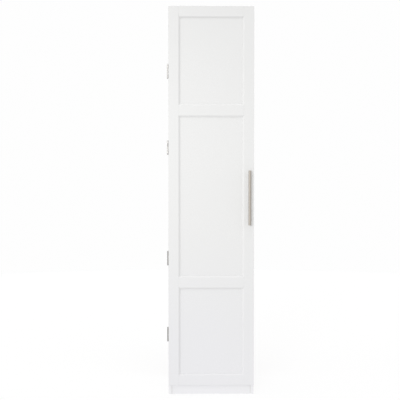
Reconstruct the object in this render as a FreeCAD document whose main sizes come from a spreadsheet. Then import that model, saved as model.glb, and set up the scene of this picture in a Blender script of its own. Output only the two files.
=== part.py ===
# Broom cupboard in millimetres: a tall housed carcass and one framed door on four butt hinges.
# The origin is on the floor, midway across the carcass and midway from the handle's face to the rear edges.
# +X runs to the right as the cupboard is faced, +Y towards the wall and +Z up.
import FreeCAD, Part
import operator
import os
import types

import Sketcher

SIZES = {
    # Carcass
    "overall_height": 2000,  # floor to the top of the carcass
    "carcass_width": 440,  # outside of one side to the outside of the other, and the door's width
    "carcass_depth": 400,  # front edge to rear edge of a side
    "board": 16,  # thickness of sides, top, bottom, shelves, plinths and fixing rail
    "housing": 6,  # depth of the housings that hold the boards in the sides
    "plinth_height": 52,  # floor to the underside of the bottom board
    "plinth_setback": 3,  # front edges of the sides to the face of the front plinth
    "back_thickness": 3,
    "back_setback": 16,  # rear edges of the sides to the rear face of the back
    "back_groove": 7,  # depth of the groove that holds the back
    "back_slack": 0.5,  # edge of the back to the floor of its groove
    "rail_height": 90,  # fixing rail behind the back, under the top
    "wall_hole": 5.5,  # screw holes through the fixing rail and the back
    "wall_hole_spacing": 320,
    # Shelves
    "fixed_shelf_setback": 2,  # front edges of the sides to the shelf
    "loose_shelf_setback": 12,
    "loose_shelf_gap": 1,  # loose shelf to each side and to the back
    "peg_pitch": 32,
    "peg_inset": 37,  # front edges, or the back, to a column of peg holes
    "peg_diameter": 5,
    "peg_depth": 9,  # length inside the side
    "peg_drop": 7,  # underside of the loose shelf to a peg's axis
    "support_reach": 11,  # side to the end of a shelf support
    "support_height": 13,
    "support_width": 10,
    "support_lip": 2,  # thickness at the end and at the foot of a support
    "hole_slack": 0.1,  # added to the diameter of what goes in a hole
    "end_slack": 0.5,  # left at the bottom of a blind hole
    # Floor glides
    "glide_length": 30,
    "glide_width": 13,
    "glide_height": 2.5,
    "glide_chamfer": 1,
    "glide_inset": 40,  # front or rear edge of a side to the middle of a glide
    # Hinges
    "hinge_length": 75,
    "leaf_width": 14.5,  # face of the side to the edge of a leaf
    "leaf_thickness": 1.6,
    "leaf_gap": 0.4,  # between the leaves of a closed hinge
    "hinge_pin": 3.2,
    "pin_slack": 0.05,  # all round the pin in its knuckles
    "running_gap": 0.3,  # between pieces that pass each other
    "lowest_hinge_rise": 314,  # floor to the middle of a hinge
    "lower_hinge_rise": 708,
    "upper_hinge_drop": 723,  # top of the carcass to the middle of a hinge
    "highest_hinge_drop": 332,
    "hinge_screw": 3,
    "hinge_screw_head": 6.2,
    "hinge_screw_length": 14,
    "hinge_screw_spacing": 45,
    "seat_slack": 0.2,  # added to the diameter of a screw head's seat
    "mortise_slack": 0.2,  # round a leaf let into the door
    # Door
    "door_bottom": 51,  # floor to the door
    "door_top_gap": 1,  # top of the carcass down to the door
    "door_thickness": 18,
    "frame_face": 52,  # flat face of a stile or rail
    "bevel_width": 8,
    "bevel_fall": 5.5,
    "bevel_lip": 1.5,  # foot of the bevel to the panel's face
    "panel_thickness": 6,
    "panel_groove": 12,  # depth of the groove, and length of a rail's stub tenon
    "panel_slack": 1,  # edge of a panel to the floor of its groove
    "top_opening": 454,  # between the flat faces of the rails
    "bottom_opening": 454,
    # Handle
    "handle_height": 1019,  # floor to the middle of the bar
    "handle_inset": 23.5,  # edge of the door to the bar's axis
    "handle_projection": 35,  # face of the door to the front of the bar
    "bar_diameter": 14,
    "bar_length": 280,
    "bar_chamfer": 0.8,
    "post_spacing": 224,
    "post_diameter": 8,
    "post_seat": 2,  # depth of the flat seat in the bar
    "handle_screw": 4,
    "handle_screw_slack": 0.5,  # added to the diameter of the hole through the door
    "handle_screw_length": 27,
    "handle_screw_head": 8,
    "handle_screw_head_height": 2.6,
    # Magnetic catch
    "catch_inset": 42,  # edge of the door to the middle of the catch
    "catch_width": 44,
    "catch_depth": 20,
    "catch_height": 13,
    "catch_corner": 3,
    "magnet_width": 24,
    "magnet_depth": 12,
    "magnet_thickness": 5,
    "pole_thickness": 1.5,
    "catch_screw": 3,
    "catch_screw_head": 6,
    "catch_screw_head_height": 2,
    "catch_screw_length": 23,
    "catch_screw_spacing": 34,
    "strike_width": 32,
    "strike_height": 14,
    "strike_thickness": 1.6,
    "strike_corner": 3,
}
KNUCKLES = 3
PEG_ROWS = 3
PEG_ROW_USED = 1  # counted up from the first row, which is 0
SEAT_ANGLE = 40  # slope of a countersunk seat's sides from the screw's axis, in degrees
# Corners of a screw's flat sides on a circle of radius 1
SCREW_CORNERS = [
    (1, 0),
    (0.7071, 0.7071),
    (0, 1),
    (-0.7071, 0.7071),
    (-1, 0),
    (-0.7071, -0.7071),
    (0, -1),
    (0.7071, -0.7071),
]
OPERATIONS = {"+": operator.add, "-": operator.sub, "*": operator.mul, "/": operator.truediv}
# Origin plane of a body and the sense of its normal along its axis
PLANES = {"XY": ("XY_Plane", 1), "XZ": ("XZ_Plane", -1), "YZ": ("YZ_Plane", 1)}
UP = FreeCAD.Vector(0, 0, 1)
LEFTWARD = FreeCAD.Vector(-1, 0, 0)
FORWARD = FreeCAD.Vector(0, -1, 0)
REARWARD = FreeCAD.Vector(0, 1, 0)

doc = FreeCAD.newDocument("broom_cupboard")
parts = []


class Size:
    """A length worked out from the sheet: its expression, to bind, and its present value."""

    def __init__(self, text, value):
        self.text = text
        self.value = value

    def __float__(self):
        return self.value

    def __add__(self, other):
        return combine(self, "+", other)

    def __radd__(self, other):
        return combine(other, "+", self)

    def __sub__(self, other):
        return combine(self, "-", other)

    def __rsub__(self, other):
        return combine(other, "-", self)

    def __mul__(self, other):
        return combine(self, "*", other)

    def __rmul__(self, other):
        return combine(other, "*", self)

    def __truediv__(self, other):
        return combine(self, "/", other)


def expression(length):
    return length.text if isinstance(length, Size) else str(length)


def combine(left, sign, right):
    text = f"({expression(left)} {sign} {expression(right)})"
    return Size(text, OPERATIONS[sign](float(left), float(right)))


def fill_sheet(sizes):
    """Put the driving sizes in a sheet and hand them back by name."""
    sheet = doc.addObject("Spreadsheet::Sheet", "Sizes")
    for row, (alias, number) in enumerate(sizes.items(), start=1):
        sheet.set(f"A{row}", alias)
        sheet.set(f"B{row}", str(number))
        sheet.setAlias(f"B{row}", alias)
    doc.recompute()
    named = {alias: Size(f"Sizes.{alias}", float(sheet.get(alias))) for alias in sizes}
    return types.SimpleNamespace(**named)


def bind(target, path, length):
    if isinstance(length, Size):
        target.setExpression(path, length.text)


def vector(x, y, z):
    return FreeCAD.Vector(float(x), float(y), float(z))


def new_body(label):
    body = doc.addObject("PartDesign::Body", label)
    body.Label = label
    parts.append(body)
    return body


def place(body, x, y, z):
    bind(body, "Placement.Base.x", x)
    bind(body, "Placement.Base.y", y)
    bind(body, "Placement.Base.z", z)


class Profile:
    """A sketch on an origin plane of its body, moved along that plane's axis and held by sizes."""

    def __init__(self, body, plane, at=0):
        role, self.sense = PLANES[plane]
        self.body = body
        self.sketch = body.newObject("Sketcher::SketchObject", "profile")
        support = next(item for item in body.Origin.OriginFeatures if item.Role == role)
        self.sketch.AttachmentSupport = [(support, "")]
        self.sketch.MapMode = "FlatFace"
        bind(self.sketch, "AttachmentOffset.Base.z", self.sense * at)

    def hold(self, kind, geometry, point, length):
        index = self.sketch.addConstraint(Sketcher.Constraint(kind, -1, 1, geometry, point, float(length)))
        bind(self.sketch, f"Constraints[{index}]", length)

    def polygon(self, points):
        corners = [vector(x, y, 0) for x, y in points]
        first = self.sketch.GeometryCount
        for start, end in zip(corners, corners[1:] + corners[:1]):
            self.sketch.addGeometry(Part.LineSegment(start, end))
        for index, (x, y) in enumerate(points):
            following = first + (index + 1) % len(points)
            self.sketch.addConstraint(Sketcher.Constraint("Coincident", first + index, 2, following, 1))
            self.hold("DistanceX", first + index, 1, x)
            self.hold("DistanceY", first + index, 1, y)

    def rectangle(self, low, high):
        self.polygon([low, (high[0], low[1]), high, (low[0], high[1])])

    def plate(self, low, high, corner):
        """Rectangle with its corners cut off."""
        left, bottom = low
        right, top = high
        self.polygon([
            (left + corner, bottom),
            (right - corner, bottom),
            (right, bottom + corner),
            (right, top - corner),
            (right - corner, top),
            (left + corner, top),
            (left, top - corner),
            (left, bottom + corner),
        ])

    def circle(self, centre, diameter):
        geometry = self.sketch.addGeometry(Part.Circle(vector(*centre, 0), UP, float(diameter) / 2))
        self.hold("DistanceX", geometry, 3, centre[0])
        self.hold("DistanceY", geometry, 3, centre[1])
        index = self.sketch.addConstraint(Sketcher.Constraint("Diameter", geometry, float(diameter)))
        bind(self.sketch, f"Constraints[{index}]", diameter)

    def screw_hole(self, centre, diameter):
        """Outline that follows the flat sides of a screw."""
        self.polygon([(centre[0] + diameter / 2 * x, centre[1] + diameter / 2 * y) for x, y in SCREW_CORNERS])


def pad(profile, length, towards=1):
    """Thicken a profile along its axis."""
    feature = profile.body.newObject("PartDesign::Pad", "pad")
    feature.Profile = profile.sketch
    feature.Reversed = towards != profile.sense
    bind(feature, "Length", length)
    return feature


def cut(profile, depth, towards):
    """Cut a profile along its axis, and make sure that material went."""
    doc.recompute()
    before = profile.body.Shape.Volume
    feature = profile.body.newObject("PartDesign::Pocket", "cut")
    feature.Profile = profile.sketch
    feature.Reversed = towards == profile.sense
    bind(feature, "Length", depth)
    doc.recompute()
    if profile.body.Shape.Volume >= before:
        raise RuntimeError(f"a cut in {profile.body.Label} removes nothing")
    return feature


def repeat(feature, profile, axis, length, count):
    """Repeat a feature along an axis of its profile."""
    pattern = profile.body.newObject("PartDesign::LinearPattern", "row")
    pattern.Originals = [feature]
    pattern.Direction = (profile.sketch, [axis])
    bind(pattern, "Length", length)
    pattern.Occurrences = count
    profile.body.Tip = pattern


def countersink(body, plane, at, centres, thickness, towards):
    """Sink a tapering hole through a plate for the head of each hinge screw."""
    seats = Profile(body, plane, at)
    for centre in centres:
        seats.screw_hole(centre, s.hinge_screw_head + s.seat_slack)
    cut(seats, thickness, towards).TaperAngle = -SEAT_ANGLE


def flat_face(points):
    return Part.Face(Part.makePolygon(points + points[:1]))


def stacked(rings):
    """Solid with flat faces through rings of as many points each, from the lowest up."""
    faces = [flat_face(rings[0]), flat_face(rings[-1])]
    for low, high in zip(rings, rings[1:]):
        for index in range(len(low)):
            following = (index + 1) % len(low)
            faces.append(flat_face([low[index], low[following], high[following], high[index]]))
    shell = Part.makeShell(faces)
    shell.sewShape()
    solid = Part.makeSolid(shell)
    if solid.Volume < 0:
        solid.reverse()
    return solid


def faceted(profile):
    """Small fastener with flat sides about Z from radii and heights."""
    return stacked([
        [vector(radius * x, radius * y, height) for x, y in SCREW_CORNERS] for radius, height in profile
    ])


def aimed(direction, x, y, z):
    """Placement that points a fastener's own Z axis along a direction."""
    return FreeCAD.Placement(vector(x, y, z), FreeCAD.Rotation(UP, direction))


def group(label, shape, placements):
    """One node that holds a solid for each place of a like fastener."""
    feature = doc.addObject("Part::Feature", label)
    feature.Label = label
    feature.Shape = Part.Compound([shape.transformed(place.toMatrix()) for place in placements])
    feature.Placement = FreeCAD.Placement()
    parts.append(feature)


s = fill_sheet(SIZES)

# Places across and from front to rear that several pieces share
left_face = 0 - s.carcass_width / 2
right_face = s.carcass_width / 2
inner_left = left_face + s.board
inner_right = right_face - s.board
inner_width = s.carcass_width - 2 * s.board
housed_width = inner_width + 2 * s.housing
door_gap = s.leaf_thickness + s.leaf_gap
front = (s.handle_projection + s.door_thickness + door_gap - s.carcass_depth) / 2
door_back = front - door_gap
door_front = door_back - s.door_thickness
# Depths behind the front edges of the sides
back_depth = s.carcass_depth - s.back_setback - s.back_thickness
peg_columns = (s.peg_inset, back_depth - s.peg_inset)
glide_rows = (s.glide_inset, s.carcass_depth - s.glide_inset)
# Heights above the floor: the fixed shelf lies behind the middle of the door's upper rail
top_underside = s.overall_height - s.board
bottom_top = s.plinth_height + s.board
rail_bottom = top_underside - s.rail_height
door_top = s.overall_height - s.door_top_gap
shelf_underside = door_top - 1.5 * s.frame_face - s.top_opening - s.board / 2
shelf_top = shelf_underside + s.board
first_peg_height = (shelf_top + top_underside - (PEG_ROWS - 1) * s.peg_pitch) / 2
used_peg_height = first_peg_height + PEG_ROW_USED * s.peg_pitch
hinge_heights = (
    s.lowest_hinge_rise,
    s.lower_hinge_rise,
    s.overall_height - s.upper_hinge_drop,
    s.overall_height - s.highest_hinge_drop,
)
screw_offsets = (0 - s.hinge_screw_spacing / 2, s.hinge_screw_spacing / 2)
hinge_screw_heights = [height + offset for height in hinge_heights for offset in screw_offsets]
door_height = door_top - s.door_bottom


def side(label, x, inward):
    """Side board: inward is the sense of X from its face towards the middle of the cupboard."""
    body = new_body(label)
    height = s.overall_height - s.glide_height
    inner_face = s.board if inward > 0 else 0
    outline = Profile(body, "YZ")
    outline.rectangle((0, 0), (s.carcass_depth, height))
    pad(outline, s.board)
    groove = Profile(body, "YZ", inner_face)
    groove.rectangle((back_depth, 0), (back_depth + s.back_thickness, height))
    cut(groove, s.back_groove, -inward)
    housings = Profile(body, "YZ", inner_face)
    for underside, start, end in (
        (s.plinth_height, 0, s.carcass_depth),
        (shelf_underside, s.fixed_shelf_setback, back_depth),
        (top_underside, 0, s.carcass_depth),
    ):
        bottom = underside - s.glide_height
        housings.rectangle((start, bottom), (end, bottom + s.board))
    cut(housings, s.housing, -inward)
    pegs = Profile(body, "YZ", inner_face)
    for column in peg_columns:
        pegs.circle((column, first_peg_height - s.glide_height), s.peg_diameter + s.hole_slack)
    holes = cut(pegs, s.peg_depth + s.end_slack, -inward)
    repeat(holes, pegs, "V_Axis", (PEG_ROWS - 1) * s.peg_pitch, PEG_ROWS)
    place(body, x, front, s.glide_height)
    return body


def drill_for_hinges(body):
    """Pilot holes for the hinge screws in the front edge of the hinge side."""
    pilots = Profile(body, "XZ")
    for height in hinge_screw_heights:
        pilots.screw_hole((s.board / 2, height - s.glide_height), s.hinge_screw + s.hole_slack)
    cut(pilots, s.hinge_screw_length - s.leaf_thickness + s.end_slack, 1)


def housed_board(label, underside):
    """Board across the carcass with its ends in the housings, flush with the sides at front and rear."""
    body = new_body(label)
    outline = Profile(body, "XY")
    outline.rectangle((0, 0), (housed_width, s.carcass_depth))
    pad(outline, s.board)
    place(body, inner_left - s.housing, front, underside)
    return body


def groove_for_back(body, level, towards):
    groove = Profile(body, "XY", level)
    groove.rectangle((0, back_depth), (housed_width, back_depth + s.back_thickness))
    cut(groove, s.back_groove, towards)


def fixed_shelf():
    """Housed shelf that stops at the back, drilled below for the catch's screws."""
    body = new_body("fixed_shelf")
    outline = Profile(body, "XY")
    outline.rectangle((0, 0), (housed_width, back_depth - s.fixed_shelf_setback))
    pad(outline, s.board)
    pilots = Profile(body, "XY")
    for offset in catch_screw_offsets:
        centre = (catch_x + offset - inner_left + s.housing, s.catch_depth / 2 - s.fixed_shelf_setback)
        pilots.screw_hole(centre, s.catch_screw + s.hole_slack)
    cut(pilots, s.catch_screw_length - s.catch_height + s.end_slack, 1)
    place(body, inner_left - s.housing, front + s.fixed_shelf_setback, shelf_underside)


def loose_shelf():
    body = new_body("loose_shelf")
    outline = Profile(body, "XY")
    depth = back_depth - s.loose_shelf_setback - s.loose_shelf_gap
    outline.rectangle((0, 0), (inner_width - 2 * s.loose_shelf_gap, depth))
    pad(outline, s.board)
    place(body, inner_left + s.loose_shelf_gap, front + s.loose_shelf_setback, used_peg_height + s.peg_drop)


def shelf_supports():
    """Moulded brackets, each with a peg in the side and a sloping web under the shelf."""
    half = s.support_width / 2
    top = s.peg_drop
    foot = top - s.support_height
    web = [
        (0, foot),
        (s.support_lip, foot),
        (s.support_reach, top - s.support_lip),
        (s.support_reach, top),
        (0, top),
    ]
    bracket = flat_face([vector(x, 0 - half, z) for x, z in web]).extrude(vector(0, s.support_width, 0))
    peg = Part.makeCylinder(float(s.peg_diameter) / 2, float(s.peg_depth), FreeCAD.Vector(), LEFTWARD)
    places = []
    for x, turn in ((inner_left, 0), (inner_right, 180)):
        for column in peg_columns:
            position = vector(x, front + column, used_peg_height)
            places.append(FreeCAD.Placement(position, FreeCAD.Rotation(UP, turn)))
    group("shelf_supports", bracket.fuse(peg), places)


def cross_bar(label, depth, bottom, height):
    """Upright board between the sides, glued at its ends; depth is that of its face."""
    body = new_body(label)
    outline = Profile(body, "XZ")
    outline.rectangle((0, 0), (inner_width, height))
    pad(outline, s.board)
    place(body, inner_left, front + depth, bottom)
    return body


def drill_for_wall(body, middle, height, thickness):
    """Two screw holes, level with each other, for fixing the cupboard to a wall."""
    holes = Profile(body, "XZ")
    for offset in (0 - s.wall_hole_spacing / 2, s.wall_hole_spacing / 2):
        holes.circle((middle + offset, height), s.wall_hole)
    cut(holes, thickness, 1)


def back_panel():
    body = new_body("back_panel")
    entry = s.back_groove - s.back_slack
    width = inner_width + 2 * entry
    bottom = bottom_top - entry
    outline = Profile(body, "XZ")
    outline.rectangle((0, 0), (width, top_underside + entry - bottom))
    pad(outline, s.back_thickness)
    drill_for_wall(body, width / 2, rail_bottom + s.rail_height / 2 - bottom, s.back_thickness)
    place(body, inner_left - entry, front + back_depth, bottom)


def floor_glides():
    """Moulded pads under the sides, their lower edges chamfered."""
    rings = []
    for inset, height in ((s.glide_chamfer, 0), (0, s.glide_chamfer), (0, s.glide_height)):
        x = s.glide_width / 2 - inset
        y = s.glide_length / 2 - inset
        corners = ((1, 1), (-1, 1), (-1, -1), (1, -1))
        rings.append([vector(x * across, y * along, height) for across, along in corners])
    middles = (left_face + s.board / 2, right_face - s.board / 2)
    places = [aimed(UP, x, front + row, 0) for x in middles for row in glide_rows]
    group("floor_glides", stacked(rings), places)


# Hinge axis, outside the face of the left side and midway between the closed leaves
knuckle_radius = s.hinge_pin / 2 + s.pin_slack + s.leaf_thickness
hinge_standoff = knuckle_radius + s.running_gap
hinge_x = left_face - hinge_standoff
hinge_y = front - s.leaf_thickness - s.leaf_gap / 2
knuckle_pitch = s.hinge_length / KNUCKLES


def hinge_leaf(label, height, first_knuckle, rearward):
    """Hinge leaf with every second knuckle; rearward is the sense of Y from the hinge axis to the leaf."""
    body = new_body(label)
    edge = []
    for knuckle in range(KNUCKLES):
        own = knuckle % 2 == first_knuckle
        reach = 0 if own else knuckle_radius + s.running_gap
        shrink = s.running_gap / 2 if own else 0 - s.running_gap / 2
        low = knuckle * knuckle_pitch + shrink if knuckle > 0 else 0
        high = (knuckle + 1) * knuckle_pitch - shrink if knuckle < KNUCKLES - 1 else s.hinge_length
        edge += [(reach, low), (reach, high)]
    far = hinge_standoff + s.leaf_width
    inner = s.leaf_gap / 2 if rearward > 0 else 0 - s.leaf_gap / 2
    plate = Profile(body, "XZ", inner)
    plate.polygon(edge + [(far, s.hinge_length), (far, 0)])
    pad(plate, s.leaf_thickness, rearward)
    barrel = Profile(body, "XY", first_knuckle * knuckle_pitch + s.running_gap / 2)
    barrel.circle((0, 0), 2 * knuckle_radius)
    knuckle = pad(barrel, knuckle_pitch - s.running_gap)
    count = (KNUCKLES + 1) // 2 - first_knuckle
    if count > 1:
        doc.recompute()
        repeat(knuckle, barrel, "N_Axis", 2 * (count - 1) * knuckle_pitch, count)
    bore = Profile(body, "XY")
    bore.circle((0, 0), s.hinge_pin + 2 * s.pin_slack)
    cut(bore, s.hinge_length, 1)
    centres = [(hinge_standoff + s.board / 2, s.hinge_length / 2 + offset) for offset in screw_offsets]
    countersink(body, "XZ", inner, centres, s.leaf_thickness, rearward)
    place(body, hinge_x, hinge_y, height - s.hinge_length / 2)


def hinge_pin(label, height):
    body = new_body(label)
    section = Profile(body, "XY")
    section.circle((0, 0), s.hinge_pin)
    pad(section, s.hinge_length)
    place(body, hinge_x, hinge_y, height - s.hinge_length / 2)


def countersunk_screw():
    """Wood screw, its head's face at the origin and its point along Z."""
    radius = s.hinge_screw / 2
    head = s.hinge_screw_head / 2
    length = s.hinge_screw_length
    shoulder = length - s.hinge_screw
    return faceted([(head, 0), (radius, head - radius), (radius, shoulder), (radius / 4, length)])


def hinge_screws():
    x = left_face + s.board / 2
    side_seat = hinge_y + s.leaf_gap / 2
    door_seat = hinge_y - s.leaf_gap / 2
    screw = countersunk_screw()
    group("side_leaf_screws", screw, [aimed(REARWARD, x, side_seat, z) for z in hinge_screw_heights])
    group("door_leaf_screws", screw, [aimed(FORWARD, x, door_seat, z) for z in hinge_screw_heights])


# Framed door: depths behind its face, and places of its rails above the floor
panel_front = s.bevel_fall + s.bevel_lip
panel_rear = panel_front + s.panel_thickness
frame_width = s.frame_face + s.bevel_width
middle_rail_height = s.frame_face + 2 * s.bevel_width
rail_length = s.carcass_width - 2 * (frame_width - s.panel_groove)
middle_opening = door_height - 4 * s.frame_face - s.top_opening - s.bottom_opening
bottom_panel_foot = s.door_bottom + s.frame_face
lower_rail_bottom = bottom_panel_foot + s.bottom_opening - s.bevel_width
middle_panel_foot = bottom_panel_foot + s.bottom_opening + s.frame_face
upper_rail_bottom = middle_panel_foot + middle_opening - s.bevel_width
top_panel_foot = middle_panel_foot + middle_opening + s.frame_face
top_rail_bottom = door_top - frame_width
# Edges of a stile or rail: depth behind the face, distance from the edge
square_edge = [(0, 0), (s.door_thickness, 0)]
moulded_edge = [
    (0, s.bevel_width),
    (s.bevel_fall, 0),
    (panel_front, 0),
    (panel_front, s.panel_groove),
    (panel_rear, s.panel_groove),
    (panel_rear, 0),
    (s.door_thickness, 0),
]


def stile(label, x, section):
    """Upright member of the door's frame, as tall as the door."""
    body = new_body(label)
    outline = Profile(body, "XY")
    outline.polygon(section)
    pad(outline, door_height)
    place(body, x, door_front, s.door_bottom)
    return body


def hinge_stile():
    """Stile moulded on its right, with mortises for the door leaves and pilot holes for their screws."""
    moulded = [(frame_width - distance, depth) for depth, distance in moulded_edge]
    body = stile("hinge_stile", left_face, moulded + [(0, s.door_thickness), (0, 0)])
    mortises = Profile(body, "XZ", s.door_thickness)
    half = s.hinge_length / 2 + s.mortise_slack
    for height in hinge_heights:
        middle = height - s.door_bottom
        mortises.rectangle((0, middle - half), (s.leaf_width + s.mortise_slack, middle + half))
    cut(mortises, s.leaf_thickness, -1)
    pilots = Profile(body, "XZ", s.door_thickness)
    for height in hinge_screw_heights:
        pilots.screw_hole((s.board / 2, height - s.door_bottom), s.hinge_screw + s.hole_slack)
    cut(pilots, s.hinge_screw_length + s.end_slack, -1)


def handle_stile():
    """Stile moulded on its left, drilled for the handle screws and the strike's screw."""
    moulded = [(distance, depth) for depth, distance in moulded_edge]
    section = moulded + [(frame_width, s.door_thickness), (frame_width, 0)]
    body = stile("handle_stile", right_face - frame_width, section)
    through = Profile(body, "XZ", s.door_thickness)
    for height in post_heights:
        centre = (frame_width - s.handle_inset, height - s.door_bottom)
        through.screw_hole(centre, s.handle_screw + s.handle_screw_slack)
    cut(through, s.door_thickness, -1)
    pilot = Profile(body, "XZ", s.door_thickness)
    centre = (frame_width - s.catch_inset, strike_middle - s.door_bottom)
    pilot.screw_hole(centre, s.hinge_screw + s.hole_slack)
    cut(pilot, s.hinge_screw_length - s.strike_thickness + s.end_slack, -1)


def rail(label, bottom, height, lower_edge, upper_edge):
    """Member of the door's frame between the stiles, with coped ends and stub tenons."""
    body = new_body(label)
    section = Profile(body, "YZ")
    section.polygon(lower_edge + [(depth, height - distance) for depth, distance in reversed(upper_edge)])
    pad(section, rail_length)
    clear = 0 - s.bevel_width
    front_cope = [
        (clear, 0),
        (s.panel_groove - s.bevel_width, 0),
        (s.panel_groove, s.bevel_fall),
        (s.panel_groove, panel_front),
        (clear, panel_front),
    ]
    rear_shoulder = [
        (clear, panel_rear),
        (s.panel_groove, panel_rear),
        (s.panel_groove, s.door_thickness),
        (clear, s.door_thickness),
    ]
    ends = Profile(body, "XY")
    for waste in (front_cope, rear_shoulder):
        ends.polygon(waste)
        ends.polygon([(rail_length - x, y) for x, y in waste])
    cut(ends, height, 1)
    place(body, left_face + frame_width - s.panel_groove, door_front, bottom)


def door_panel(label, foot, opening):
    """Flat panel held in the grooves of the frame; foot is the bottom of its opening above the floor."""
    body = new_body(label)
    entry = s.panel_groove - s.bevel_width - s.panel_slack
    outline = Profile(body, "XZ")
    outline.rectangle((0, 0), (rail_length - 2 * s.panel_slack, opening + 2 * entry))
    pad(outline, s.panel_thickness)
    x = left_face + frame_width - s.panel_groove + s.panel_slack
    place(body, x, door_front + panel_front, foot - entry)


# Handle: bar axis, and heights of its posts
bar_radius = s.bar_diameter / 2
bar_x = right_face - s.handle_inset
bar_y = door_front - s.handle_projection + bar_radius
bar_bottom = s.handle_height - s.bar_length / 2
post_heights = (s.handle_height - s.post_spacing / 2, s.handle_height + s.post_spacing / 2)


def handle_bar():
    """Turned bar with chamfered ends and a flat seat for each post."""
    body = new_body("handle_bar")
    section = Profile(body, "XZ")
    section.polygon([
        (0, 0),
        (bar_radius - s.bar_chamfer, 0),
        (bar_radius, s.bar_chamfer),
        (bar_radius, s.bar_length - s.bar_chamfer),
        (bar_radius - s.bar_chamfer, s.bar_length),
        (0, s.bar_length),
    ])
    turned = body.newObject("PartDesign::Revolution", "turned")
    turned.Profile = section.sketch
    turned.ReferenceAxis = (section.sketch, ["V_Axis"])
    seats = Profile(body, "XZ", bar_radius)
    for height in post_heights:
        seats.circle((0, height - bar_bottom), s.post_diameter + s.hole_slack)
    cut(seats, s.post_seat, -1)
    place(body, bar_x, bar_y, bar_bottom)


def handle_post(label, height):
    """Round post from the door's face to its seat in the bar, tapped for its screw."""
    body = new_body(label)
    section = Profile(body, "XZ")
    section.circle((0, 0), s.post_diameter)
    pad(section, s.handle_projection - s.bar_diameter + s.post_seat, -1)
    tapping = Profile(body, "XZ")
    tapping.screw_hole((0, 0), s.handle_screw + s.hole_slack)
    cut(tapping, s.handle_screw_length - s.door_thickness + s.end_slack, -1)
    place(body, bar_x, door_front, height)


def pan_head_screw(diameter, length, head, head_height):
    """Screw with a raised head, the underside of its head at the origin and its end along Z."""
    shank = faceted([(diameter / 2, 0), (diameter / 2, length)])
    cap = faceted([
        (head / 2 - head_height / 2, 0 - head_height),
        (head / 2, 0 - head_height / 2),
        (head / 2, 0),
    ])
    return cap.fuse(shank)


def handle_screws():
    head = (s.handle_screw_head, s.handle_screw_head_height)
    screw = pan_head_screw(s.handle_screw, s.handle_screw_length, *head)
    group("handle_screws", screw, [aimed(FORWARD, bar_x, door_back, z) for z in post_heights])


# Magnetic catch under the fixed shelf, and its strike on the door
catch_x = right_face - s.catch_inset
catch_bottom = shelf_underside - s.catch_height
strike_middle = shelf_underside - s.catch_height / 2
magnet_stack = s.magnet_thickness + 2 * s.pole_thickness
stack_bottom = catch_bottom + (s.catch_height - magnet_stack) / 2
pole_front = door_back + s.strike_thickness + s.running_gap
catch_screw_offsets = (0 - s.catch_screw_spacing / 2, s.catch_screw_spacing / 2)


def catch_body():
    """Moulded block with a pocket for the magnet and two screw holes."""
    body = new_body("catch_body")
    outline = Profile(body, "XY")
    outline.plate((0, 0), (s.catch_width, s.catch_depth), s.catch_corner)
    pad(outline, s.catch_height)
    pocket = Profile(body, "XZ")
    left = (s.catch_width - s.magnet_width) / 2
    low = (s.catch_height - magnet_stack) / 2
    pocket.rectangle((left, low), (left + s.magnet_width, low + magnet_stack))
    cut(pocket, s.magnet_depth, 1)
    holes = Profile(body, "XY")
    for offset in catch_screw_offsets:
        holes.screw_hole((s.catch_width / 2 + offset, s.catch_depth / 2), s.catch_screw + s.hole_slack)
    cut(holes, s.catch_height, 1)
    place(body, catch_x - s.catch_width / 2, front, catch_bottom)


def magnet_layer(label, y, bottom, thickness):
    """Flat piece in the catch's pocket: the magnet, or a steel pole plate that stands proud of it."""
    body = new_body(label)
    outline = Profile(body, "XY")
    outline.rectangle((0, 0), (s.magnet_width, front + s.magnet_depth - y))
    pad(outline, thickness)
    place(body, catch_x - s.magnet_width / 2, y, bottom)


def catch_screws():
    head = (s.catch_screw_head, s.catch_screw_head_height)
    screw = pan_head_screw(s.catch_screw, s.catch_screw_length, *head)
    y = front + s.catch_depth / 2
    places = [aimed(UP, catch_x + offset, y, catch_bottom) for offset in catch_screw_offsets]
    group("catch_screws", screw, places)


def strike():
    """Steel plate on the back of the door that the magnet holds, and its screw."""
    body = new_body("strike_plate")
    outline = Profile(body, "XZ")
    outline.plate((0, 0), (s.strike_width, s.strike_height), s.strike_corner)
    pad(outline, s.strike_thickness)
    middle = (s.strike_width / 2, s.strike_height / 2)
    countersink(body, "XZ", s.strike_thickness, [middle], s.strike_thickness, -1)
    place(body, catch_x - s.strike_width / 2, door_back, strike_middle - s.strike_height / 2)
    seat = door_back + s.strike_thickness
    group("strike_screw", countersunk_screw(), [aimed(FORWARD, catch_x, seat, strike_middle)])


# Carcass
drill_for_hinges(side("left_side", left_face, 1))
side("right_side", inner_right, -1)
groove_for_back(housed_board("top_board", top_underside), 0, 1)
groove_for_back(housed_board("bottom_board", s.plinth_height), s.board, -1)
fixed_shelf()
loose_shelf()
shelf_supports()
back_panel()
plinth_rise = s.plinth_height - s.glide_height
cross_bar("front_plinth", s.plinth_setback, s.glide_height, plinth_rise)
cross_bar("rear_plinth", s.carcass_depth - s.board, s.glide_height, plinth_rise)
fixing_rail = cross_bar("fixing_rail", s.carcass_depth - s.back_setback, rail_bottom, s.rail_height)
drill_for_wall(fixing_rail, inner_width / 2, s.rail_height / 2, s.board)
floor_glides()

# Hinges, numbered from the lowest
for number, height in enumerate(hinge_heights, start=1):
    hinge_leaf(f"hinge_{number}_side_leaf", height, 0, 1)
    hinge_leaf(f"hinge_{number}_door_leaf", height, 1, -1)
    hinge_pin(f"hinge_{number}_pin", height)
hinge_screws()

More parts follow.
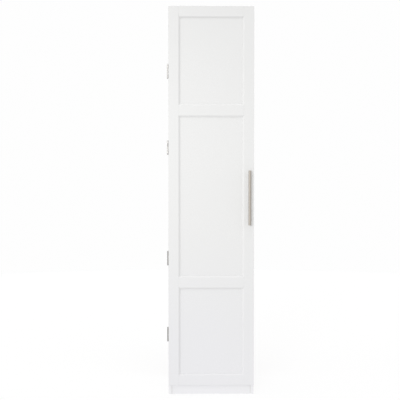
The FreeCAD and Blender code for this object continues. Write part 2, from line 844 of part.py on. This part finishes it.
# Door
hinge_stile()
handle_stile()
rail("door_bottom_rail", s.door_bottom, frame_width, square_edge, moulded_edge)
rail("door_lower_rail", lower_rail_bottom, middle_rail_height, moulded_edge, moulded_edge)
rail("door_upper_rail", upper_rail_bottom, middle_rail_height, moulded_edge, moulded_edge)
rail("door_top_rail", top_rail_bottom, frame_width, moulded_edge, square_edge)
door_panel("door_bottom_panel", bottom_panel_foot, s.bottom_opening)
door_panel("door_middle_panel", middle_panel_foot, middle_opening)
door_panel("door_top_panel", top_panel_foot, s.top_opening)
handle_bar()
handle_post("handle_lower_post", post_heights[0])
handle_post("handle_upper_post", post_heights[1])
handle_screws()

# Catch
catch_body()
magnet_bottom = stack_bottom + s.pole_thickness
magnet_layer("catch_magnet", front, magnet_bottom, s.magnet_thickness)
magnet_layer("catch_lower_pole", pole_front, stack_bottom, s.pole_thickness)
magnet_layer("catch_upper_pole", pole_front, magnet_bottom + s.magnet_thickness, s.pole_thickness)
catch_screws()
strike()

doc.recompute()
for item in doc.Objects:
    if "Invalid" in item.State or "Error" in item.State:
        raise RuntimeError(f"{item.Label} failed: {item.State}")
for item in parts:
    if item.Shape.isNull() or not item.Shape.isValid():
        raise RuntimeError(f"{item.Label} has no valid shape")
os.makedirs("parts", exist_ok=True)
for item in parts:
    item.Shape.exportStep(f"parts/{item.Label}.step")
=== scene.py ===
import math

import bmesh
import bpy
from mathutils import Matrix, Vector


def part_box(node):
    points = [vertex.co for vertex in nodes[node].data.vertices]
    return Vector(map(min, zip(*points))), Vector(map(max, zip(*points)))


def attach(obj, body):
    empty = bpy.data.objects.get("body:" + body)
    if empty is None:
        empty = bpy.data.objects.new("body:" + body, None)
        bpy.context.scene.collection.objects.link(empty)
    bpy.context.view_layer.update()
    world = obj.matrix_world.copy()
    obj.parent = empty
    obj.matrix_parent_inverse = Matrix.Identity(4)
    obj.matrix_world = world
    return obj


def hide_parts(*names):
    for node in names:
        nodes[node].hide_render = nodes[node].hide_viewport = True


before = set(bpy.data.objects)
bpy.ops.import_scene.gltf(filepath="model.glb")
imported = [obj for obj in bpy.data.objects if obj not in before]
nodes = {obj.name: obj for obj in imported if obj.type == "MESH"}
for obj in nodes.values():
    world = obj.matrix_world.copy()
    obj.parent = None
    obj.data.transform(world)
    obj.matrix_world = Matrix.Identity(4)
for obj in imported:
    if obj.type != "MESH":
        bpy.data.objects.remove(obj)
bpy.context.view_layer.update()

# Studio
# A glowing white floor under an even pale sky, as for a catalogue picture. Broad lamps stand in front, at
# the left and overhead, with a spot on the door and a cool one near the floor. The floor takes shadows but
# throws no light. The camera stands a little left of the cupboard and looks nearly level.
# Lengths are in metres here and in the sections that follow
CAMERA_PLACE = (-0.1373, -4.6725, 1.1196)
CAMERA_YAW = math.radians(1.017)
CAMERA_PITCH = math.radians(-1.426)
FOCAL_PIXELS = 873.3
PICTURE_PIXELS = 400
SENSOR_WIDTH = 36.0
PURE_WHITE = (1.0, 1.0, 1.0, 1.0)
SKY_SEEN = 0.99
SKY_LIGHT = 0.75
FLOOR_RADIUS = 6.0
FLOOR_SEGMENTS = 96
FLOOR_WHITE = (0.25, 0.25, 0.25, 1.0)
FLOOR_GLOW = 0.775
FLOOR_ROUGHNESS = 0.9
FLOOR_SPECULAR = 0.1
# Turn to the left, rise and spread of each lamp in degrees, and its power
LAMPS = {
    "front": (16.0, 9.0, 18.0, 0.65),
    "left": (60.0, 4.0, 34.0, 0.25),
    "overhead": (0.0, 67.0, 26.0, 0.25),
}
# Place and aim of each spot, its cone in degrees, its power and its colour
SPOTS = {
    "door": ((-1.3, -3.6, 1.35), (-0.24, -0.19, 1.22), 30.0, 45.0, (1.0, 0.995, 0.98)),
    "base": ((-0.5, -2.6, 0.25), (0.0, -0.19, 0.08), 28.0, 17.0, (0.5, 0.48, 1.0)),
}
SPOT_RADIUS = 0.4
SPOT_BLEND = 1.0


class Shade:
    """One socket of a node tree, with arithmetic that adds Math nodes to the tree."""

    def __init__(self, tree, socket=None):
        self.tree = tree
        self.socket = socket

    def feed(self, socket, value):
        """Link a shade to a node's socket, or set a plain value there."""
        if isinstance(value, Shade):
            self.tree.links.new(value.socket, socket)
        else:
            socket.default_value = value

    def node(self, kind, settings, sockets, output=0):
        """Any node, from its type, its settings, and what its sockets hold."""
        made = self.tree.nodes.new(kind)
        for name, value in settings.items():
            setattr(made, name, value)
        for name, value in sockets.items():
            self.feed(made.inputs[name], value)
        return Shade(self.tree, made.outputs[output])

    def maths(self, operation, left, right):
        return self.node("ShaderNodeMath", {"operation": operation}, {0: left, 1: right})

    def __add__(self, other):
        return self.maths("ADD", self, other)

    def __radd__(self, other):
        return self.maths("ADD", other, self)

    def __sub__(self, other):
        return self.maths("SUBTRACT", self, other)

    def __rsub__(self, other):
        return self.maths("SUBTRACT", other, self)

    def __mul__(self, other):
        return self.maths("MULTIPLY", self, other)

    def __rmul__(self, other):
        return self.maths("MULTIPLY", other, self)

    def __gt__(self, other):
        return self.maths("GREATER_THAN", self, other)

    def sine(self):
        return self.maths("SINE", self, 0.0)


def new_finish(name):
    """A bare material, and the shade and the shader to build it with."""
    material = bpy.data.materials.new(name)
    material.use_nodes = True
    tree = material.node_tree
    return material, Shade(tree), tree.nodes["Principled BSDF"]


def add_to_scene(name, data):
    made = bpy.data.objects.new(name, data)
    scene.collection.objects.link(made)
    return made


scene = bpy.context.scene
scene.view_settings.view_transform = "Standard"

floor_mesh = bpy.data.meshes.new("studio_floor")
floor_form = bmesh.new()
bmesh.ops.create_circle(floor_form, cap_ends=True, radius=FLOOR_RADIUS, segments=FLOOR_SEGMENTS)
floor_form.to_mesh(floor_mesh)
floor_form.free()
floor_finish, _, floor_shader = new_finish("studio_floor")
floor_shader.inputs["Base Color"].default_value = FLOOR_WHITE
floor_shader.inputs["Emission Color"].default_value = PURE_WHITE
floor_shader.inputs["Emission Strength"].default_value = FLOOR_GLOW
floor_shader.inputs["Roughness"].default_value = FLOOR_ROUGHNESS
floor_shader.inputs["Specular IOR Level"].default_value = FLOOR_SPECULAR
floor_mesh.materials.append(floor_finish)
floor = add_to_scene("studio_floor", floor_mesh)
floor.visible_diffuse = False
floor.visible_glossy = False
floor.visible_shadow = False

sky = bpy.data.worlds.new("studio_sky")
sky.use_nodes = True
scene.world = sky
sky_shade = Shade(sky.node_tree)
seen = sky_shade.node("ShaderNodeLightPath", {}, {}, "Is Camera Ray")
sky_light = sky.node_tree.nodes["Background"]
sky_light.inputs["Color"].default_value = PURE_WHITE
sky_shade.feed(sky_light.inputs["Strength"], SKY_LIGHT + seen * (SKY_SEEN - SKY_LIGHT))

for lamp_name, (turn, rise, spread, power) in LAMPS.items():
    lamp_data = bpy.data.lights.new(f"studio_{lamp_name}", "SUN")
    lamp_data.energy = power
    lamp_data.angle = math.radians(spread)
    lamp = add_to_scene(f"studio_{lamp_name}", lamp_data)
    lamp.rotation_euler = (math.pi / 2 - math.radians(rise), 0.0, -math.radians(turn))

for spot_name, (spot_place, spot_aim, cone, power, colour) in SPOTS.items():
    spot_data = bpy.data.lights.new(f"studio_spot_{spot_name}", "SPOT")
    spot_data.energy = power
    spot_data.color = colour
    spot_data.spot_size = math.radians(cone)
    spot_data.spot_blend = SPOT_BLEND
    spot_data.shadow_soft_size = SPOT_RADIUS
    spot = add_to_scene(f"studio_spot_{spot_name}", spot_data)
    spot.location = spot_place
    spot.rotation_euler = (Vector(spot_place) - Vector(spot_aim)).to_track_quat("Z", "Y").to_euler()

camera_data = bpy.data.cameras.new("camera")
camera_data.sensor_width = SENSOR_WIDTH
camera_data.lens = FOCAL_PIXELS / PICTURE_PIXELS * SENSOR_WIDTH
camera = add_to_scene("camera", camera_data)
camera.location = CAMERA_PLACE
camera.rotation_euler = (math.pi / 2 + CAMERA_PITCH, 0.0, -CAMERA_YAW)
scene.camera = camera

# Carcass boards
# Chipboard faced with a hard white film, its edges banded in the same white.
# Top, bottom and fixed shelf are housed and glued in the sides, the plinths and the fixing rail are glued
# between them, and the loose shelf lies on its supports.
BOARD_NODES = (
    "left_side", "right_side", "top_board", "bottom_board", "fixed_shelf", "loose_shelf",
    "front_plinth", "rear_plinth", "fixing_rail",
)
BOARD_WHITE = (0.86, 0.86, 0.855, 1.0)
# Darker white that the boards' eased edges wear towards, also used as the painted shade in their corners
BOARD_WORN_AND_SHADED = (0.66, 0.65, 0.62, 1.0)
BOARD_ROUGHNESS = 0.42
BOARD_EDGE_RADIUS = 0.0006
BOARD_STIPPLE_PER_METRE = 900.0
BOARD_STIPPLE_DEPTH = 0.00004
# Strength of the painted shade in the boards' inner corners and joints, with its reach and samples
BOARD_CORNER_SHADE = 2.0
CORNER_SHADE_REACH = 0.004
CORNER_SHADE_SAMPLES = 8
EDGE_SAMPLES = 6
CLOUDS_PER_METRE = 4.0
CLOUD_WEAR = 0.06
CLOUD_ROUGHNESS = 0.05
# Patches along the eased edges and their strength: rubbed wear on boards and plastic, a painted highlight
# on the door
EDGE_PATCHES_PER_METRE = 60.0
EDGE_WEAR_AND_HIGHLIGHT = 1.6
STIPPLE_DETAIL = 3.0
STIPPLE_ROUGHNESS = 0.08
STIPPLE_STRENGTH = 0.5
# Places of the colour sockets on a Mix node
MIX_FACTOR = 0
MIX_FIRST = 6
MIX_SECOND = 7
MIX_RESULT = 2


def dress(names, finish):
    """Give CAD pieces their finish."""
    for name in names:
        nodes[name].material_slots[0].material = finish


def object_place(shade):
    return shade.node("ShaderNodeTexCoord", {}, {}, "Object")


def noise(shade, place, per_metre=1.0, detail=2.0):
    """Soft noise from 0 to 1, with a number of features to the metre."""
    sockets = {"Vector": place, "Scale": per_metre, "Detail": detail}
    return shade.node("ShaderNodeTexNoise", {}, sockets, "Fac")


def mixed(shade, factor, first, second):
    """Colour between two others."""
    sockets = {MIX_FACTOR: factor, MIX_FIRST: first, MIX_SECOND: second}
    return shade.node("ShaderNodeMix", {"data_type": "RGBA"}, sockets, MIX_RESULT)


def rounded(shade, radius):
    """Normal of a surface whose edges are eased by a radius, and how far it turns from the flat face."""
    eased = shade.node("ShaderNodeBevel", {"samples": EDGE_SAMPLES}, {"Radius": radius})
    flat = shade.node("ShaderNodeNewGeometry", {}, {}, "True Normal")
    along = shade.node("ShaderNodeVectorMath", {"operation": "DOT_PRODUCT"}, {0: eased, 1: flat}, "Value")
    return eased, 1.0 - along


def bumped(shade, height, depth, strength, eased=None):
    """Normal of a surface with fine relief, whose edges may be eased."""
    sockets = {"Height": height, "Distance": depth, "Strength": strength}
    if eased is not None:
        sockets["Normal"] = eased
    return shade.node("ShaderNodeBump", {}, sockets)


def white_coat(name, white, wear_shade_highlight_tone, roughness, edge_radius, stipple_per_metre, stipple_depth, corner_shade=0.0):
    """Hard white surface with faint clouding, a fine stipple, eased edges mixed towards a second tone, and
    painted shade in the corners.
    """
    material, shade, shader = new_finish(name)
    place = object_place(shade)
    eased, turned = rounded(shade, edge_radius)
    clouds = noise(shade, place, CLOUDS_PER_METRE)
    stipple = noise(shade, place, stipple_per_metre, STIPPLE_DETAIL)
    # Eased edges in patches: rubbed wear on boards and plastic, a painted highlight on the door
    edge_wear_and_highlight_mask = noise(shade, place, EDGE_PATCHES_PER_METRE) * turned
    wear_shade_highlight_mix = edge_wear_and_highlight_mask * EDGE_WEAR_AND_HIGHLIGHT + clouds * CLOUD_WEAR
    # Painted shade: within a short reach of inner corners and joints the surface is mixed towards the
    # darker tone, where shade falls
    if corner_shade:
        settings = {"samples": CORNER_SHADE_SAMPLES}
        open_air = shade.node("ShaderNodeAmbientOcclusion", settings, {"Distance": CORNER_SHADE_REACH}, "AO")
        wear_shade_highlight_mix = wear_shade_highlight_mix + (1.0 - open_air) * corner_shade
    dulled = roughness + clouds * CLOUD_ROUGHNESS + stipple * STIPPLE_ROUGHNESS
    shade.feed(shader.inputs["Base Color"], mixed(shade, wear_shade_highlight_mix, white, wear_shade_highlight_tone))
    shade.feed(shader.inputs["Roughness"], dulled)
    shade.feed(shader.inputs["Normal"], bumped(shade, stipple, stipple_depth, STIPPLE_STRENGTH, eased))
    return material


board_finish = white_coat(
    "white_board", BOARD_WHITE, BOARD_WORN_AND_SHADED, BOARD_ROUGHNESS, BOARD_EDGE_RADIUS,
    BOARD_STIPPLE_PER_METRE, BOARD_STIPPLE_DEPTH, BOARD_CORNER_SHADE,
)
dress(BOARD_NODES, board_finish)

# Back
# Thin hardboard held in grooves of the sides, the top and the bottom.
# Its front is faced white, and its rear is bare brown fibre with the weave of the press's wire mesh.
FILM_ROUGHNESS = 0.45
FILM_WEAR = 0.08
FIBRE_BROWN = (0.235, 0.145, 0.085, 1.0)
FIBRE_PALE = (0.33, 0.22, 0.14, 1.0)
FIBRE_ROUGHNESS = 0.85
FIBRES_PER_METRE = 260.0
FIBRE_DETAIL = 6.0
FIBRE_TINT = 0.8
BLOTCHES_PER_METRE = 9.0
BLOTCH_DETAIL = 3.0
BLOTCH_TINT = 0.35
TINT_DROP = 0.1
WIRES_PER_METRE = 720.0
WIRE_RELIEF = 0.6
RELIEF_DEPTH = 0.00025
RELIEF_STRENGTH = 0.6
FACES_REARWARD = 0.5


def along_axis(shade, vector, axis):
    """One of the three numbers of a vector."""
    return shade.node("ShaderNodeSeparateXYZ", {}, {"Vector": vector}, axis)


def faced_hardboard(name):
    """White film where the board faces forward, and fibre with a woven relief where it faces the rear."""
    material, shade, shader = new_finish(name)
    place = object_place(shade)
    facing = shade.node("ShaderNodeTexCoord", {}, {}, "Normal")
    rear = along_axis(shade, facing, "Y") > FACES_REARWARD
    fibres = noise(shade, place, FIBRES_PER_METRE, FIBRE_DETAIL)
    blotches = noise(shade, place, BLOTCHES_PER_METRE, BLOTCH_DETAIL)
    tint = fibres * FIBRE_TINT + blotches * BLOTCH_TINT - TINT_DROP
    fibre = mixed(shade, tint, FIBRE_BROWN, FIBRE_PALE)
    film = mixed(shade, blotches * FILM_WEAR, BOARD_WHITE, BOARD_WORN_AND_SHADED)
    across = along_axis(shade, place, "X") * (WIRES_PER_METRE * math.tau)
    upward = along_axis(shade, place, "Z") * (WIRES_PER_METRE * math.tau)
    weave = across.sine() * upward.sine()
    relief = rear * (weave * WIRE_RELIEF + fibres)
    shade.feed(shader.inputs["Base Color"], mixed(shade, rear, film, fibre))
    shade.feed(shader.inputs["Roughness"], FILM_ROUGHNESS + rear * (FIBRE_ROUGHNESS - FILM_ROUGHNESS))
    shade.feed(shader.inputs["Normal"], bumped(shade, relief, RELIEF_DEPTH, RELIEF_STRENGTH))
    return material


dress(["back_panel"], faced_hardboard("back_hardboard"))

# Shelf supports and floor glides
# Moulded in white plastic. The supports are brackets whose pegs push into holes in the sides,
# and the glides are chamfered pads under the sides that keep the boards off the floor.
PLASTIC_WHITE = (0.70, 0.70, 0.68, 1.0)
PLASTIC_SCUFFED = (0.48, 0.47, 0.45, 1.0)
PLASTIC_ROUGHNESS = 0.38
PLASTIC_EDGE_RADIUS = 0.0005
PLASTIC_STIPPLE_PER_METRE = 1500.0
PLASTIC_STIPPLE_DEPTH = 0.00003
plastic_finish = white_coat(
    "moulded_plastic", PLASTIC_WHITE, PLASTIC_SCUFFED, PLASTIC_ROUGHNESS, PLASTIC_EDGE_RADIUS,
    PLASTIC_STIPPLE_PER_METRE, PLASTIC_STIPPLE_DEPTH,
)
dress(["shelf_supports", "floor_glides"], plastic_finish)

# Hinges
# Steel butt hinges, plated in satin nickel: rolled knuckles on a plain pin, leaves let into the door only.
# Both leaves are cut and punched from strip, so the brush lines run up the hinge.
HINGES = (1, 2, 3, 4)
HINGE_NICKEL = (0.48, 0.47, 0.45, 1.0)
HINGE_NICKEL_DULL = (0.31, 0.30, 0.29, 1.0)
HINGE_ROUGHNESS = 0.12
HINGE_EDGE_RADIUS = 0.0003
HINGE_LINES = (2600.0, 2600.0, 60.0)
LINE_DETAIL = 3.0
LINE_TINT = 0.45
LINE_ROUGHNESS = 0.14
LINE_DEPTH = 0.00003
LINE_STRENGTH = 0.35
TARNISH_PER_METRE = 45.0
TARNISH_DETAIL = 3.0
TARNISH_TINT = 0.3
TARNISH_ROUGHNESS = 0.06


def brushed_metal(name, bright, dull, roughness, edge_radius, lines_per_metre):
    """Plated metal with bright edges and fine brush lines, so many to the metre along each axis."""
    material, shade, shader = new_finish(name)
    place = object_place(shade)
    drawn = shade.node("ShaderNodeVectorMath", {"operation": "MULTIPLY"}, {0: place, 1: lines_per_metre})
    lines = noise(shade, drawn, detail=LINE_DETAIL)
    tarnish = noise(shade, place, TARNISH_PER_METRE, TARNISH_DETAIL)
    eased, turned = rounded(shade, edge_radius)
    tint = lines * LINE_TINT + tarnish * TARNISH_TINT - turned
    dulled = roughness + lines * LINE_ROUGHNESS + tarnish * TARNISH_ROUGHNESS
    shade.feed(shader.inputs["Base Color"], mixed(shade, tint, bright, dull))
    shade.feed(shader.inputs["Roughness"], dulled)
    shader.inputs["Metallic"].default_value = 1.0
    shade.feed(shader.inputs["Normal"], bumped(shade, lines, LINE_DEPTH, LINE_STRENGTH, eased))
    return material


hinge_finish = brushed_metal(
    "satin_nickel", HINGE_NICKEL, HINGE_NICKEL_DULL, HINGE_ROUGHNESS, HINGE_EDGE_RADIUS, HINGE_LINES)
for number in HINGES:
    dress([f"hinge_{number}_side_leaf", f"hinge_{number}_door_leaf", f"hinge_{number}_pin"], hinge_finish)

# Hinge screws
# Countersunk zinc-plated wood screws with a cross recess, their heads flush in the leaves.
# The side's screws face forward and the door's face the inside of the cupboard.
ZINC = (0.52, 0.52, 0.53, 1.0)
ZINC_DULL = (0.36, 0.36, 0.38, 1.0)
SCREW_ROUGHNESS = 0.30
SCREW_EDGE_RADIUS = 0.0002
SCREW_LINES = (1800.0, 1800.0, 1800.0)
SCREW_SEGMENTS = 24
SCREW_CREASE = math.radians(40.0)
WOOD_SCREW = 0.003
WOOD_SCREW_HEAD = 0.0062
WOOD_SCREW_LENGTH = 0.014
WOOD_SCREW_POINT = 0.0004
RIM_EASING = 0.00035
RIM_RISE = 0.00002
CROWN_RISE = 0.00012
# Reach of the recess as a share of the face's radius, and its other sizes as shares of that reach
RECESS_REACH = 0.72
RECESS_HALF_ARM = 0.26
RECESS_FOOT_REACH = 0.6
RECESS_FOOT_HALF_ARM = 0.17
RECESS_DEPTH = 0.0013
# Turn of a row's first screw and the step to the next, in radians
FIRST_TURN = 0.3
TURN_STEP = 0.7
HINGE_SCREW_SPACING = 0.045
LEAF_THICKNESS = 0.0016
LEAF_GAP = 0.0004
FORWARD = (0.0, -1.0, 0.0)
REARWARD = (0.0, 1.0, 0.0)


def countersunk(shank, head, length):
    """Radii and heights down a wood screw: a face with an eased rim, a cone, a shank and a point."""
    return [
        (head / 2 - RIM_EASING, CROWN_RISE),
        (head / 2, RIM_RISE),
        (shank / 2, (shank - head) / 2),
        (shank / 2, shank - length),
        (WOOD_SCREW_POINT, -length),
    ]


def ring(form, radius, height):
    turns = [math.tau * index / SCREW_SEGMENTS for index in range(SCREW_SEGMENTS)]
    return [form.verts.new((radius * math.cos(turn), radius * math.sin(turn), height)) for turn in turns]


def recess_outline(form, reach, half_arm, height):
    """Corners of a level cross with four arms, counted round."""
    quarter = [(reach, -half_arm), (reach, half_arm), (half_arm, half_arm)]
    corners = []
    for arm in range(4):
        spin = Matrix.Rotation(arm * math.pi / 2, 2)
        corners += [form.verts.new((*(spin @ Vector(corner)), height)) for corner in quarter]
    return corners


def bridge(form, lower, upper):
    """Faces between two outlines with as many corners as each other."""
    for index in range(len(lower)):
        following = (index + 1) % len(lower)
        form.faces.new((lower[index], lower[following], upper[following], upper[index]))


def crosshead(profile):
    """Mesh of one screw about Z, its head up, from radii and heights that start at the edge of its face."""
    form = bmesh.new()
    rings = [ring(form, radius, height) for radius, height in profile]
    for upper, lower in zip(rings, rings[1:]):
        bridge(form, lower, upper)
    form.faces.new(rings[-1])
    face_radius, face_height = profile[0]
    reach = face_radius * RECESS_REACH
    foot_height = face_height - RECESS_DEPTH
    mouth = recess_outline(form, reach, reach * RECESS_HALF_ARM, face_height)
    foot = recess_outline(form, reach * RECESS_FOOT_REACH, reach * RECESS_FOOT_HALF_ARM, foot_height)
    bridge(form, foot, mouth)
    form.faces.new(foot)
    open_edges = [edge for edge in form.edges if len(edge.link_faces) == 1]
    bmesh.ops.triangle_fill(form, edges=open_edges, use_beauty=True)
    bmesh.ops.recalc_face_normals(form, faces=form.faces)
    for face in form.faces:
        face.smooth = True
    for edge in form.edges:
        edge.smooth = edge.calc_face_angle() < SCREW_CREASE
    mesh = bpy.data.meshes.new("screw")
    form.to_mesh(mesh)
    form.free()
    return mesh


def screw_row(name, node, profile, places, facing, body):
    """One piece for a CAD group of like screws, each turned a little further than the last."""
    single = crosshead(profile)
    form = bmesh.new()
    aim = Vector(facing).to_track_quat("Z", "Y").to_matrix().to_4x4()
    for index, centre in enumerate(places):
        driven = Matrix.Rotation(FIRST_TURN + TURN_STEP * index, 4, "Z")
        copy = single.copy()
        copy.transform(Matrix.Translation(centre) @ aim @ driven)
        form.from_mesh(copy)
        bpy.data.meshes.remove(copy)
    bpy.data.meshes.remove(single)
    mesh = bpy.data.meshes.new(name)
    form.to_mesh(mesh)
    form.free()
    mesh.materials.append(screw_finish)
    piece = add_to_scene(name, mesh)
    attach(piece, body)
    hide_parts(node)


def middle_of(node):
    low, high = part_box(node)
    return (low + high) / 2


def hinge_screw_places(leaf, seat):
    """Two screws on each leaf, over the middle of the side's edge."""
    across = middle_of("left_side").x
    places = []
    for number in HINGES:
        height = middle_of(f"hinge_{number}_{leaf}").z
        for offset in (-HINGE_SCREW_SPACING / 2, HINGE_SCREW_SPACING / 2):
            places.append(Vector((across, seat, height + offset)))
    return places


screw_finish = brushed_metal(
    "zinc_screw", ZINC, ZINC_DULL, SCREW_ROUGHNESS, SCREW_EDGE_RADIUS, SCREW_LINES)
wood_screw = countersunk(WOOD_SCREW, WOOD_SCREW_HEAD, WOOD_SCREW_LENGTH)
side_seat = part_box("left_side")[0].y - LEAF_THICKNESS
side_leaf_places = hinge_screw_places("side_leaf", side_seat)
door_leaf_places = hinge_screw_places("door_leaf", side_seat - LEAF_GAP)
screw_row("side_leaf_screw_heads", "side_leaf_screws", wood_screw, side_leaf_places, FORWARD, "carcass")
screw_row("door_leaf_screw_heads", "door_leaf_screws", wood_screw, door_leaf_places, REARWARD, "door")

# Door
# A painted frame of two stiles and four rails, coped and tenoned together round three flat panels.
# The coat is sprayed satin white over the joints, so only hairlines show there.
DOOR_NODES = (
    "hinge_stile", "handle_stile",
    "door_bottom_rail", "door_lower_rail", "door_upper_rail", "door_top_rail",
    "door_bottom_panel", "door_middle_panel", "door_top_panel",
)
DOOR_WHITE = (0.790, 0.790, 0.785, 1.0)
# Paler white on the door's eased edges: a painted highlight, as of edges catching the light
DOOR_EDGE_HIGHLIGHT = (0.86, 0.86, 0.85, 1.0)
DOOR_ROUGHNESS = 0.20
DOOR_EDGE_RADIUS = 0.0008
DOOR_STIPPLE_PER_METRE = 520.0
DOOR_STIPPLE_DEPTH = 0.00004
door_finish = white_coat(
    "door_paint", DOOR_WHITE, DOOR_EDGE_HIGHLIGHT, DOOR_ROUGHNESS, DOOR_EDGE_RADIUS,
    DOOR_STIPPLE_PER_METRE, DOOR_STIPPLE_DEPTH,
)
dress(DOOR_NODES, door_finish)

# Handle
# A bar pull in brushed nickel: a turned bar with chamfered ends, seated on two round posts.
# The brush lines run along the bar.
BAR_NICKEL = (0.57, 0.527, 0.479, 1.0)
BAR_NICKEL_DULL = (0.43, 0.399, 0.359, 1.0)
BAR_ROUGHNESS = 0.50
BAR_EDGE_RADIUS = 0.0004
BAR_LINES = (3200.0, 3200.0, 25.0)
HANDLE_POSTS = ("handle_lower_post", "handle_upper_post")
bar_finish = brushed_metal(
    "brushed_nickel_bar", BAR_NICKEL, BAR_NICKEL_DULL, BAR_ROUGHNESS, BAR_EDGE_RADIUS, BAR_LINES)
dress(["handle_bar", *HANDLE_POSTS], bar_finish)

# Handle screws
# Zinc-plated machine screws with raised heads and a cross recess, one into each post.
# They go through the handle stile from the inside of the door.
HANDLE_SCREW = 0.004
HANDLE_SCREW_HEAD = 0.008
HANDLE_SCREW_HEAD_HEIGHT = 0.0026
HANDLE_SCREW_LENGTH = 0.027
# Width of a raised head's round edge as a share of its radius
ROUND_EDGE = 0.35
ROUND_EDGE_STEPS = 3


def pan_head(shank, head, height, length):
    """Radii and heights down a screw with a raised head: a flat face, a round edge and a plain shank."""
    edge = head / 2 * ROUND_EDGE
    flat = head / 2 - edge
    turns = [math.pi / 2 * step / ROUND_EDGE_STEPS for step in range(ROUND_EDGE_STEPS + 1)]
    crown = [(flat + edge * math.sin(turn), height * math.cos(turn)) for turn in turns]
    return [*crown, (shank / 2, 0.0), (shank / 2, -length)]


handle_screw = pan_head(HANDLE_SCREW, HANDLE_SCREW_HEAD, HANDLE_SCREW_HEAD_HEIGHT, HANDLE_SCREW_LENGTH)
door_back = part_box("handle_stile")[1].y
post_middles = [middle_of(post) for post in HANDLE_POSTS]
handle_screw_places = [Vector((middle.x, door_back, middle.z)) for middle in post_middles]
screw_row("handle_screw_heads", "handle_screws", handle_screw, handle_screw_places, REARWARD, "door")

# Catch and strike
# A magnetic catch screwed under the fixed shelf: a ferrite block between steel plates in a plastic body.
# Its strike is a zinc-plated plate held to the back of the door by one screw.
FERRITE = (0.030, 0.030, 0.033, 1.0)
FERRITE_CHALKY = (0.075, 0.074, 0.072, 1.0)
FERRITE_ROUGHNESS = 0.5
GRAINS_PER_METRE = 1400.0
GRAIN_DETAIL = 4.0
GRAIN_ROUGHNESS = 0.3
GRAIN_DEPTH = 0.00005
GRAIN_STRENGTH = 0.4
PLATE_ROUGHNESS = 0.32
PLATE_EDGE_RADIUS = 0.0003
PLATE_LINES = (40.0, 2400.0, 2400.0)
CATCH_SCREW = 0.003
CATCH_SCREW_HEAD = 0.006
CATCH_SCREW_HEAD_HEIGHT = 0.002
CATCH_SCREW_LENGTH = 0.023
CATCH_SCREW_SPACING = 0.034
DOWNWARD = (0.0, 0.0, -1.0)


def sintered_ferrite(name):
    """Dark grainy block with a chalky bloom."""
    material, shade, shader = new_finish(name)
    grains = noise(shade, object_place(shade), GRAINS_PER_METRE, GRAIN_DETAIL)
    shade.feed(shader.inputs["Base Color"], mixed(shade, grains, FERRITE, FERRITE_CHALKY))
    shade.feed(shader.inputs["Roughness"], FERRITE_ROUGHNESS + grains * GRAIN_ROUGHNESS)
    shade.feed(shader.inputs["Normal"], bumped(shade, grains, GRAIN_DEPTH, GRAIN_STRENGTH))
    return material


plate_finish = brushed_metal(
    "zinc_plate", ZINC, ZINC_DULL, PLATE_ROUGHNESS, PLATE_EDGE_RADIUS, PLATE_LINES)
dress(["catch_body"], plastic_finish)
dress(["catch_magnet"], sintered_ferrite("ferrite"))
dress(["catch_lower_pole", "catch_upper_pole", "strike_plate"], plate_finish)

catch_screw = pan_head(CATCH_SCREW, CATCH_SCREW_HEAD, CATCH_SCREW_HEAD_HEIGHT, CATCH_SCREW_LENGTH)
catch_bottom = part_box("catch_body")[0].z
catch_middle = middle_of("catch_body")
catch_screw_places = [
    Vector((catch_middle.x + offset, catch_middle.y, catch_bottom))
    for offset in (-CATCH_SCREW_SPACING / 2, CATCH_SCREW_SPACING / 2)
]
screw_row("catch_screw_heads", "catch_screws", catch_screw, catch_screw_places, DOWNWARD, "carcass")

strike_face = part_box("strike_plate")[1].y
strike_middle = middle_of("strike_plate")
strike_screw_place = Vector((strike_middle.x, strike_face, strike_middle.z))
screw_row("strike_screw_head", "strike_screw", wood_screw, [strike_screw_place], REARWARD, "door")
